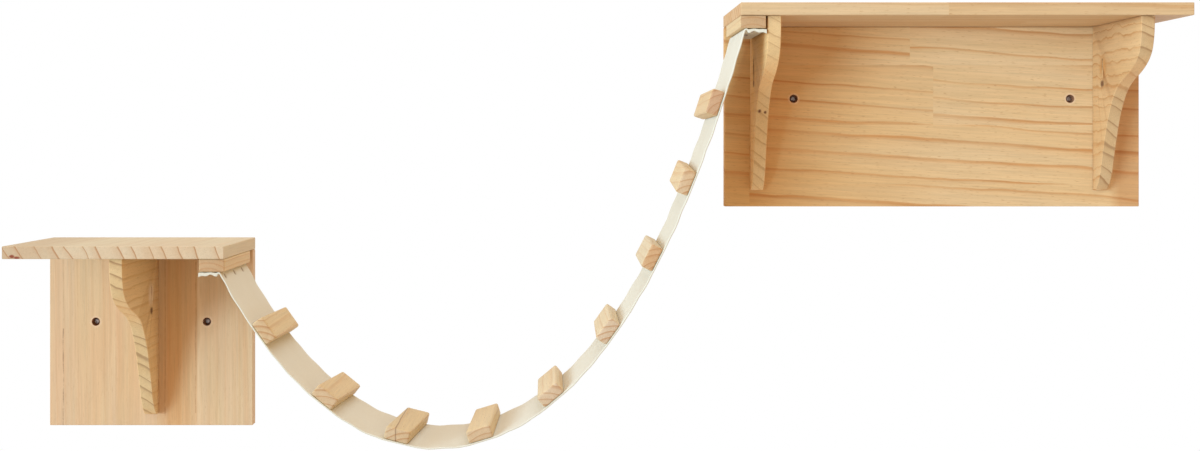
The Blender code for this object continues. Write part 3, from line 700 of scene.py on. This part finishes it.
class StrapLine:
    """The strap's middle line in the X-Z plane, by run: the distance along it from the low bend's end.

    It is a level tail, an arc, a catenary that is straight under each tread, an arc and a level tail.
    """

    def __init__(self):
        low_low, low_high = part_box("low_shelf")
        high_low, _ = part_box("high_shelf")
        below = batten_thickness + seat_gap + strap_thickness / 2
        self.low_turn = np.array([low_high[0] - bend_inset, low_low[2] - below])
        self.high_turn = np.array([high_low[0] + bend_inset, high_low[2] - below])
        self.length = np.linalg.norm(self.high_turn - self.low_turn) + strap_slack
        self.low_angle = self.high_angle = math.pi / 3
        for _ in range(60):
            start = self.on_bend(self.low_turn, self.low_angle, 1)
            end = self.on_bend(self.high_turn, self.high_angle, -1)
            self.hang(start, end)
            self.low_angle = math.atan(math.sinh((self.lowest - start[0]) / self.scale))
            self.high_angle = math.atan(math.sinh((end[0] - self.lowest) / self.scale))
        self.first = math.sinh((start[0] - self.lowest) / self.scale)
        pitch = (self.length - 2 * tread_from_bend) / (tread_count - 1)
        self.tread_runs = tread_from_bend + pitch * (np.arange(tread_count) + tread_shift_shares)
        skews = np.abs(np.radians(tread_skew_degrees))
        self.reaches = (batten_width * np.cos(skews) + tread_length * np.sin(skews)) / 2
        tail = batten_width + tail_past_cleat - bend_inset
        self.low_arc = bend_radius * self.low_angle
        self.high_arc = bend_radius * self.high_angle
        self.low_end = -self.low_arc - tail
        self.high_end = self.length + self.high_arc + tail

    def on_bend(self, turn, angle, side):
        """A bend's end, after that angle from its level start: side is 1 for the low one, -1 for the high."""
        return turn + np.array([side * math.sin(angle), math.cos(angle) - 1]) * bend_radius

    def hang(self, start, end):
        """Find the catenary's scale by halving, then its lowest place and its offset."""
        span, rise = end - start
        stretch = math.sqrt(self.length**2 - rise**2) / span
        few, many = 0.001, 20.0
        for _ in range(80):
            half = (few + many) / 2
            if math.sinh(half) / half < stretch:
                few = half
            else:
                many = half
        self.scale = span / (2 * half)
        self.lowest = (start[0] + end[0]) / 2 - self.scale * math.atanh(rise / self.length)
        self.offset = start[1] - self.scale * math.cosh((start[0] - self.lowest) / self.scale)

    def hanging(self, run):
        """Points of the plain catenary at those runs."""
        x = self.lowest + self.scale * np.arcsinh(self.first + run / self.scale)
        return np.stack([x, self.scale * np.cosh((x - self.lowest) / self.scale) + self.offset], -1)

    def seat(self, number):
        """The two ends of the straight stretch under a tread, which is longer for a skewed one."""
        return self.hanging(self.tread_runs[number] + self.reaches[number] * np.array([-1, 1]))

    def place(self, run):
        """Points of the whole line at an array of runs."""
        points = self.hanging(np.clip(run, 0, self.length))
        for number, middle in enumerate(self.tread_runs):
            share = (run - middle) / (2 * self.reaches[number]) + 0.5
            seated = (share > 0) & (share < 1)
            low, high = self.seat(number)
            points[seated] = low + (high - low) * share[seated, None]
        low_turned = np.clip((run + self.low_arc) / bend_radius, 0, None)
        on_low = run < 0
        flat = np.minimum(run + self.low_arc, 0)
        low_points = self.low_turn + bend_radius * np.stack([np.sin(low_turned), np.cos(low_turned) - 1], -1)
        low_points[:, 0] += flat
        points[on_low] = low_points[on_low]
        high_turned = np.clip((self.length + self.high_arc - run) / bend_radius, 0, None)
        on_high = run > self.length
        flat = np.maximum(run - self.length - self.high_arc, 0)
        high_points = self.high_turn + bend_radius * np.stack(
            [-np.sin(high_turned), np.cos(high_turned) - 1], -1
        )
        high_points[:, 0] += flat
        points[on_high] = high_points[on_high]
        return points

    def stations(self, first, last):
        """Runs from first to last, close together in the bends and by the treads' edges."""
        edges = [self.low_end, -self.low_arc, 0.0, bend_detail_reach]
        for middle, reach in zip(self.tread_runs, self.reaches):
            edges += [middle - reach, middle, middle + reach]
        edges += [self.length - bend_detail_reach, self.length, self.length + self.high_arc, self.high_end]
        edges = [edge for edge in edges if first - 1e-9 <= edge <= last + 1e-9]
        parts = [np.linspace(a, b, 13)[:-1] for a, b in zip(edges, edges[1:])]
        return np.append(np.concatenate(parts), edges[-1])


def strap_half(name, line, first, last, material):
    """Half of the canvas: a thin rounded section carried along the strap's line.

    A low ripple, a sum of two sines of the run, crosses the free stretches and dies out by the
    treads. The tail droops at its front corner as a bell curve of the distance from that edge, and
    three puckers by each bend are round bell curves of the run and the place across.
    """
    run = line.stations(first, last)
    middle = line.place(run)
    tangent = np.gradient(middle, run, axis=0)
    tangent /= np.linalg.norm(tangent, axis=1)[:, None]
    normal = np.stack([-tangent[:, 1], tangent[:, 0]], 1)
    radius = strap_thickness * strap_edge_share
    section = rounded_loop(strap_width, strap_thickness, radius, corner_steps=4, wide_steps=90, thin_steps=1)
    across, up = section[:, 0], section[:, 1]

    to_tread = (np.abs(run[:, None] - line.tread_runs[None, :]) - line.reaches[None, :]).min(1)
    free = np.clip(np.minimum(np.minimum(to_tread, run), line.length - run) / ripple_fade, 0, 1)
    free = free * free * (3 - 2 * free)
    edge = np.abs(across / (strap_width / 2)) ** 3
    wave = np.sin(run / ripple_length * 2 * math.pi) + 0.6 * np.sin(run / ripple_length * 3.4 + 1.0)
    lift = ripple_height * (free * wave)[:, None] * edge[None, :]
    lift = lift + ripple_height * 0.8 * free[:, None] * np.cos(across / strap_width * math.pi)[None, :]
    on_tail = (run < -line.low_arc) | (run > line.length + line.high_arc)
    from_corner = (across + strap_width / 2) / tail_droop_reach
    droop = np.exp(-(from_corner**2)) * tail_droop * np.where(up < 0, 1.0, tail_top_droop_share)
    past = np.minimum(np.abs(run - line.low_end), np.abs(run - line.high_end)) / tail_wave_reach
    waves = 0.60 + 0.22 * np.cos(past * 2.4) + 0.18 * np.cos(past * 6.1 + 1.0)
    lift = lift - (on_tail * waves)[:, None] * droop[None, :]
    past_bend = np.minimum(run, line.length - run)[:, None] / pucker_size
    for place in pucker_places:
        aside = (across[None, :] - place) / pucker_size
        lift = lift - pucker_depth * np.exp(-((past_bend - pucker_run / pucker_size) ** 2) - aside**2)

    offset = up[None, :] + lift
    points = np.empty((len(run), len(across), 3))
    points[:, :, 0] = middle[:, 0:1] + normal[:, 0:1] * offset
    points[:, :, 1] = strap_middle_y + across[None, :]
    points[:, :, 2] = middle[:, 1:2] + normal[:, 1:2] * offset
    uv = np.stack(np.broadcast_arrays(across[None, :] + uv_shift, run[:, None] + uv_shift), -1)
    faces = capped(*points.shape[:2])
    piece = new_piece(
        name, points.reshape(-1, 3), faces, material, None, ["bridge_strap"], uv.reshape(-1, 2)
    )
    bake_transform(piece)


def bar(name, node, middle, turn, size, radius, material, body, seed):
    """A batten with round edges: a rounded loop carried along Y and drawn in at both ends.

    A slow sine along it, of random height and phase, and a slight twist keep its faces from being
    quite flat.
    """
    width, length, thickness = size
    arc = np.linspace(0, math.pi / 2, 5)[::-1]
    near = -length / 2 + radius * (1 - np.sin(arc))
    near_inset = radius * (1 - np.cos(arc))
    level = np.linspace(-length / 2 + radius, length / 2 - radius, 15)[1:-1]
    run = np.concatenate([near, level, -near[::-1]])
    inset = np.concatenate([near_inset, np.zeros(len(level)), near_inset[::-1]])
    section = rounded_loop(width, thickness, radius, corner_steps=4, wide_steps=5, thin_steps=5)
    reach = np.array([width / 2, thickness / 2])
    shrink = 1 - inset[:, None] / reach[None, :]
    chance = np.random.default_rng(seed)
    bow, phase, _ = chance.uniform(-1, 1, 3)
    twist = chance.uniform(-1, 1) * batten_twist_radians
    wave = batten_bow * bow * np.sin(run / length * 5 + 1.08 * phase)
    turned = twist * run / length
    across = section[None, :, 0] * shrink[:, 0:1]
    up = section[None, :, 1] * shrink[:, 1:2]
    points = np.empty((len(run), len(section), 3))
    points[:, :, 0] = across - up * turned[:, None]
    points[:, :, 1] = run[:, None]
    points[:, :, 2] = up + across * turned[:, None] + wave[:, None]
    placed = points.reshape(-1, 3) @ turn.T + middle
    new_piece(name, placed, capped(*points.shape[:2]), material, body, [node])


def tread(line, number, material):
    """A tread on its straight stretch of canvas, turned with it and askew by its own small angle."""
    low, high = line.seat(number)
    along = (high - low) / np.linalg.norm(high - low)
    skew = math.radians(tread_skew_degrees[number])
    cos, sin = math.cos(skew), math.sin(skew)
    tilt = np.array([[along[0], 0, -along[1]], [0, 1, 0], [along[1], 0, along[0]]])
    turn = tilt @ np.array([[cos, -sin, 0], [sin, cos, 0], [0, 0, 1]])
    up = tilt[:, 2] * (strap_thickness / 2 + seat_gap + batten_thickness / 2)
    middle = np.array([(low + high)[0] / 2, strap_middle_y, (low + high)[1] / 2]) + up
    size = (batten_width, tread_length, batten_thickness)
    node = f"tread_{number + 1}"
    bar(node + "_batten", node, middle, turn, size, tread_round, material, "bridge", number)


def cleat(node, material, seed):
    """A cleat that fills its CAD node's box."""
    low, high = box_of(node)
    middle, size = (low + high) / 2, high - low
    bar(node + "_batten", node, middle, np.eye(3), size, cleat_round, material, "wall_units", seed)


def screw(node, sizes, body, material, flush=False):
    """A screw turned about its own axis: a crowned or flush head with a cross recess, and a thread.

    The axis is the CAD screw's longest direction, with the head at its wider end. The thread's depth
    is a triangle wave of the height over the pitch plus the angle over a full turn.
    """
    head_radius, head_height, shank_radius, pitch = sizes
    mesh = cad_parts[node].data
    corners = np.zeros(len(mesh.vertices) * 3, dtype=np.float32)
    mesh.vertices.foreach_get("co", corners)
    corners = corners.reshape(-1, 3).astype(float)
    middle = corners.mean(0)
    corners -= middle
    axis = np.linalg.svd(corners, full_matrices=False)[2][0]
    place = corners @ axis
    across = np.linalg.norm(corners - place[:, None] * axis, axis=1)
    if place[across.argmax()] < 0:
        axis, place = -axis, -place
    total = place.max() - place.min()
    head_end = middle + axis * place.max()
    # Any way that leans off the axis gives a side to count the angle from
    leaning = (0.3, 0.5, 0.81)
    side = np.cross(axis, leaning)
    side /= np.linalg.norm(side)
    other = np.cross(axis, side)

    out = np.linspace(0, 1, head_rings)
    if flush:
        head = [(share * head_radius, 0.0) for share in out]
    else:
        crown_reach = head_radius * crown_reach_share
        crown_drop = head_height * crown_drop_share
        head = [(share * crown_reach, crown_drop * share**4) for share in out]
        head += [(head_radius, head_height * rim_start_share), (head_radius, head_height)]
    head.append((shank_radius, head_height))
    shank = np.arange(head_height + pitch / 2, total - screw_tip, pitch / rings_per_thread)
    tip = np.linspace(total - screw_tip, total, tip_rings)
    tip_radii = shank_radius * (1 - np.linspace(0, tip_taper_share, tip_rings))
    profile = np.array([*head, *((shank_radius, depth) for depth in shank), *zip(tip_radii, tip)])
    angle = np.linspace(0, 2 * math.pi, screw_sides, endpoint=False)
    radius = np.repeat(profile[:, 0:1], screw_sides, 1)
    depth = np.repeat(profile[:, 1:2], screw_sides, 1)
    threaded = np.arange(len(profile)) >= len(head)
    wave = np.abs(((depth / pitch + angle[None, :] / (2 * math.pi)) % 1) * 2 - 1)
    cutback = 1 - (1 - thread_root_share) * wave
    radius = np.where(threaded[:, None], radius * cutback, radius)
    x, y = radius * np.cos(angle), radius * np.sin(angle)
    arm = head_radius * recess_half_width_share
    reach = head_radius * recess_reach_share
    in_cross = ((np.abs(x) < arm) | (np.abs(y) < arm)) & (np.hypot(x, y) < reach)
    on_top = (np.arange(len(profile)) < len(out))[:, None]
    depth = depth + np.where(in_cross & on_top, head_height * recess_depth_share, 0.0)
    points = head_end + x[..., None] * side + y[..., None] * other - depth[..., None] * axis
    faces = capped(len(profile), screw_sides)
    new_piece(node + "_turned", points.reshape(-1, 3), faces, material, body, [node])


def smooth_copy(node, material, body):
    """A CAD node's mesh, merged and shaded smooth over its curved edge, in place of the node."""
    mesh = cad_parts[node].data.copy()
    form = bmesh.new()
    form.from_mesh(mesh)
    bmesh.ops.remove_doubles(form, verts=form.verts, dist=merge_distance)
    form.to_mesh(mesh)
    form.free()
    stand_in(node + "_sawn", mesh, bracket_sharp_degrees, material, body, [node])


def paint(node, material):
    """Give a CAD node its material."""
    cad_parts[node].material_slots[0].material = material


def camera():
    """The photograph's view: level, straight at the wall, with the frame shifted as the photo's is."""
    data = bpy.data.cameras.new("camera")
    data.sensor_width = sensor_width
    data.lens = focal_pixels / photo_width * sensor_width
    data.shift_x = (photo_width / 2 - vanishing_x) / photo_width
    data.shift_y = (vanishing_y - photo_height / 2) / photo_width
    eye = bpy.data.objects.new("camera", data)
    eye.location = eye_place
    eye.rotation_euler = (math.pi / 2, 0, 0)
    bpy.context.scene.collection.objects.link(eye)
    bpy.context.scene.camera = eye


def lamp(name, way, colour, strength, softness_degrees):
    """A distant lamp that shines that way."""
    data = bpy.data.lights.new(name, "SUN")
    data.color = colour
    data.energy = strength
    data.angle = math.radians(softness_degrees)
    light = bpy.data.objects.new(name, data)
    light.rotation_euler = Vector(way).to_track_quat("-Z", "Y").to_euler()
    bpy.context.scene.collection.objects.link(light)


def surroundings():
    """A white world for the eye and for gloss, and a soft ambient light for the rest."""
    world = bpy.data.worlds.new("studio")
    bpy.context.scene.world = world
    world.use_nodes = True
    nodes, links = world.node_tree.nodes, world.node_tree.links
    soft = nodes["Background"]
    soft.inputs["Color"].default_value = (*ambient_colour, 1.0)
    soft.inputs["Strength"].default_value = ambient_strength
    white = nodes.new("ShaderNodeBackground")
    white.inputs["Color"].default_value = (1.0, 1.0, 1.0, 1.0)
    path = nodes.new("ShaderNodeLightPath")
    seen = path.outputs["Is Camera Ray"]
    for ray in ("Is Glossy Ray", "Is Transmission Ray"):
        either = nodes.new("ShaderNodeMath")
        either.operation = "MAXIMUM"
        links.new(seen, either.inputs[0])
        links.new(path.outputs[ray], either.inputs[1])
        seen = either.outputs[0]
    blend = nodes.new("ShaderNodeMixShader")
    links.new(seen, blend.inputs[0])
    links.new(soft.outputs[0], blend.inputs[1])
    links.new(white.outputs[0], blend.inputs[2])
    links.new(blend.outputs[0], nodes["World Output"].inputs["Surface"])


def pale_floor():
    """A pale floor that keeps the object's shadow, with a little glow for the eye and for gloss alone."""
    left, right = eye_place[0] - 2 * floor_reach, eye_place[0] + 2 * floor_reach
    corners = [
        (left, -2 * floor_reach, floor_height),
        (right, -2 * floor_reach, floor_height),
        (right, floor_reach, floor_height),
        (left, floor_reach, floor_height),
    ]
    mesh = bpy.data.meshes.new("floor")
    mesh.from_pydata(corners, [], [(0, 1, 2, 3)])
    recipe = Recipe("floor_paint")
    path = recipe.node("LightPath", {}).node
    direct = recipe.sum("MAXIMUM", path.outputs["Is Camera Ray"], path.outputs["Is Glossy Ray"])
    direct = recipe.sum("MAXIMUM", direct, path.outputs["Is Transmission Ray"])
    recipe.plug(floor_colour, recipe.shader.inputs["Base Color"])
    recipe.plug(floor_glow, recipe.shader.inputs["Emission Color"])
    recipe.plug(direct, recipe.shader.inputs["Emission Strength"])
    recipe.shader.inputs["Roughness"].default_value = 0.9
    recipe.shader.inputs["Specular IOR Level"].default_value = 0.0
    mesh.materials.append(recipe.material)
    floor = bpy.data.objects.new("floor", mesh)
    bpy.context.scene.collection.objects.link(floor)


camera()
lamp("key", key_way, key_colour, key_strength, key_softness_degrees)
lamp("side", side_way, side_colour, side_strength, side_softness_degrees)
lamp("fill", fill_way, fill_colour, fill_strength, fill_softness_degrees)
surroundings()
pale_floor()

paint("low_back_panel", low_panel_wood())
paint("high_back_panel", high_panel_wood())
paint("low_shelf", low_shelf_wood())
paint("high_shelf", high_shelf_wood())
beech = dowel_wood()
for node in ("low_dowel_1", "low_dowel_2", "high_dowel_1", "high_dowel_2"):
    paint(node, beech)

left_knots = [((0.8777, -0.0885, 0.3283), 0.0024), ((0.8858, -0.0880, 0.3265), 0.0022)]
# Each bracket's tone: the high left one is paler as painted light, and the high right one darker as painted
# shade
bracket_looks = {
    "low_bracket": {
        "tone": (1.05, 1.04, 0.99),
        "waves": 0.5,
        "side_lines": 0.60,
        "front_lines": 0.65,
        "torn": torn_pale,
        "knots": [],
    },
    "high_left_bracket": {
        # Painted light: a paler tone where this bracket's side is lit gold
        "tone": (1.13, 1.09, 1.02),
        "waves": 0.35,
        "side_lines": 0.40,
        "front_lines": 0.30,
        "torn": None,
        "knots": left_knots,
    },
    "high_right_bracket": {
        # Painted shade: a darker tone for a bracket that stands in shade
        "tone": (0.93, 0.87, 0.83),
        "waves": 2.2,
        "side_lines": 1.0,
        "front_lines": 0.60,
        "torn": late_amber,
        "knots": [],
    },
}
for number, (node, looks) in enumerate(bracket_looks.items()):
    wood = bracket_wood(node, bracket_seed + number, **looks)
    smooth_copy(node, wood, "wall_units")

for number, node in enumerate(["low_cleat", "high_cleat"]):
    low, high = box_of(node)
    middle = ((low + high) / 2)[[0, 2]]
    wood = batten_wood(
        "pine_" + node, middle, cleat_seed + number, cleat_tint, cleat_end, end_lines=cleat_end_lines
    )
    cleat(node, wood, cleat_bow_seed + number)

line = StrapLine()
for number in range(tread_count):
    count = number + 1
    wood = batten_wood(
        f"pine_tread_{count}",
        line.seat(number).mean(0),
        tread_seed + tread_seed_step * number,
        tread_tints_and_light[number],
        darker_ends.get(count, pale_end),
        dark_line=dark_line_aside if count == dark_lined_tread else None,
    )
    tread(line, number, wood)

cloth = canvas(line)
split = float(line.tread_runs[tread_count // 2])
for end, first, last, turn, seat in (
    ("low", line.low_end, split, line.low_turn, line.seat(0)[0]),
    ("high", split, line.high_end, line.high_turn, line.seat(-1)[1]),
):
    strap_half(f"strap_{end}_half", line, first, last, cloth)

steel = zinc()
for unit in ("low", "high"):
    for number in (1, 2):
        screw(f"{unit}_wall_screw_{number}", wall_screw_sizes, "wall_units", steel)
    for number in (1, 2, 3):
        screw(f"{unit}_cleat_screw_{number}", canvas_screw_sizes, "wall_units", steel)
for bracket in bracket_looks:
    screw(bracket + "_pocket_screw", pocket_screw_sizes, "wall_units", steel)
    for number in (1, 2):
        screw(f"{bracket}_back_screw_{number}", back_screw_sizes, "wall_units", steel, flush=True)
for number in range(1, tread_count + 1):
    for place in (1, 2):
        screw(f"tread_{number}_screw_{place}", canvas_screw_sizes, "bridge", steel)

bpy.context.scene.view_settings.view_transform = "Standard"
bpy.context.view_layer.update()
